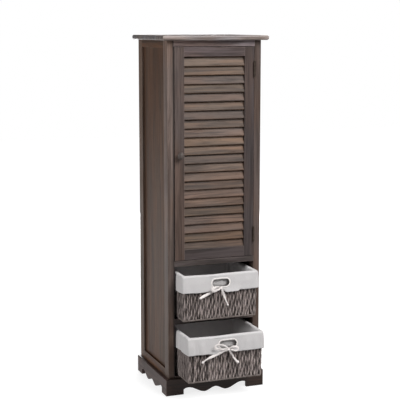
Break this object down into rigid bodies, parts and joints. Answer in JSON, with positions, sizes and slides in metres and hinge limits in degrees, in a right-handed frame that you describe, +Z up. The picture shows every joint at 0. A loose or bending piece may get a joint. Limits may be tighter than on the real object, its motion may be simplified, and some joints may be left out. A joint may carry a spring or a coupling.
{
  "type": "bathroom storage tower",
  "caption": "Narrow free-standing wooden cabinet with a louvred door above two open bays, each holding a lined woven basket that slides out, on a scalloped base.",
  "frame": {"origin": "on the floor, under the middle of the whole part with its baskets drawn out as in the rest pose", "axes": "+X to the right seen from the front, +Y from the front to the back, +Z up"},
  "size_m": [0.364, 0.426, 1.18],
  "materials": {
    "frame_wood": "stained, satin, fine lengthwise grain",
    "edge_wood": "stained, satin, lightly worn edges",
    "slat_wood": "stained, satin, grain along the slats",
    "panel_wood": "stained, satin, upright grain",
    "inner_wood": "stained, matt",
    "dowel_wood": "bare beech",
    "hinge_metal": "aged nickel",
    "plain_steel": "zinc plated",
    "catch_plastic": "moulded, matt",
    "paper_rope": "twisted cord woven upright over wires",
    "frame_wire": "drawn wire",
    "liner_cloth": "plain woven cotton",
    "tie_cloth": "soft flat tape"
  },
  "bodies": {
    "cabinet": {"top_panel": "edge_wood", "post_front_left": "frame_wood", "post_front_right": "frame_wood", "post_rear_left": "frame_wood", "post_rear_right": "frame_wood", "front_top_rail": "edge_wood", "door_sill_rail": "edge_wood", "rear_top_rail": "inner_wood", "rear_bottom_rail": "inner_wood", "side_top_rail_left": "frame_wood", "side_top_rail_right": "frame_wood", "side_bottom_rail_left": "frame_wood", "side_bottom_rail_right": "frame_wood", "side_panel_left": "panel_wood", "side_panel_right": "panel_wood", "back_panel": "inner_wood", "cupboard_floor": "inner_wood", "basket_shelf": "edge_wood", "base_panel": "edge_wood", "inner_shelf_upper": "inner_wood", "inner_shelf_lower": "inner_wood", "shelf_pins": "plain_steel", "dowels": "dowel_wood", "plinth_front": "frame_wood", "plinth_left": "frame_wood", "plinth_right": "frame_wood", "catch_body": "catch_plastic", "catch_magnet": "plain_steel", "hinge_leaf_frame_upper": "hinge_metal", "hinge_leaf_frame_lower": "hinge_metal", "hinge_pin_upper": "hinge_metal", "hinge_pin_lower": "hinge_metal", "hinge_screws_frame": "hinge_metal"},
    "door": {"door_stile_hinge": "frame_wood", "door_stile_latch": "frame_wood", "door_rail_top": "frame_wood", "door_rail_bottom": "frame_wood", "door_slats": "slat_wood", "knob": "frame_wood", "knob_screw": "plain_steel", "strike_plate": "plain_steel", "hinge_leaf_door_upper": "hinge_metal", "hinge_leaf_door_lower": "hinge_metal", "hinge_screws_door": "hinge_metal"},
    "basket_upper": {"woven_basket_upper": "paper_rope", "wire_frame_upper": "frame_wire", "liner_upper": "liner_cloth", "tie_upper": "tie_cloth"},
    "basket_lower": {"woven_basket_lower": "paper_rope", "wire_frame_lower": "frame_wire", "liner_lower": "liner_cloth", "tie_lower": "tie_cloth"}
  },
  "joints": [
    {"name": "door_hinge", "type": "hinge", "parent": "cabinet", "child": "door", "pos_m": [0.13925, -0.0976, 0.798], "axis": [0, 0, 1], "range_deg": [0, 170]},
    {"name": "basket_upper_slide", "type": "slide", "parent": "cabinet", "child": "basket_upper", "axis": [0, -1, 0], "range_m": [-0.104, 0.2]},
    {"name": "basket_lower_slide", "type": "slide", "parent": "cabinet", "child": "basket_lower", "axis": [0, -1, 0], "range_m": [-0.152, 0.152]}
  ]
}
